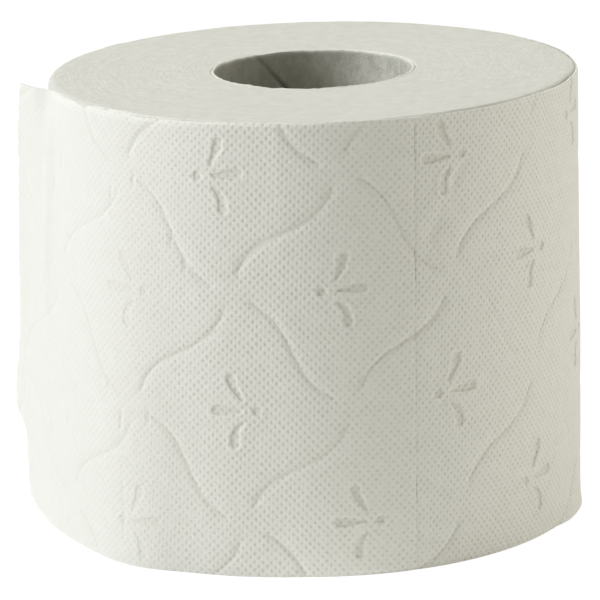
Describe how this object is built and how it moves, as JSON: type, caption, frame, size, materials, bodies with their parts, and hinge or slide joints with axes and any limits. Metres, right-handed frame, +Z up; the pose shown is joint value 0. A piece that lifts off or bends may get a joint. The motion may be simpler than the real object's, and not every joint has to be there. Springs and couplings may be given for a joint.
{
  "type": "toilet paper roll",
  "caption": "Embossed tissue roll on a cardboard tube, standing on one end, with its last turn loose and a torn tail.",
  "frame": {"origin": "on the axis of the core, at the end that the roll stands on", "axes": "+Z up along the core, -Y to the front with the perforation line, and the loose tail on the -X side"},
  "size_m": [0.1253, 0.115, 0.097],
  "materials": {
    "tissue": "soft matt",
    "core_board": "matt grey board"
  },
  "bodies": {
    "root": {"paper_roll": "tissue", "core_tube": "core_board"}
  },
  "joints": []
}
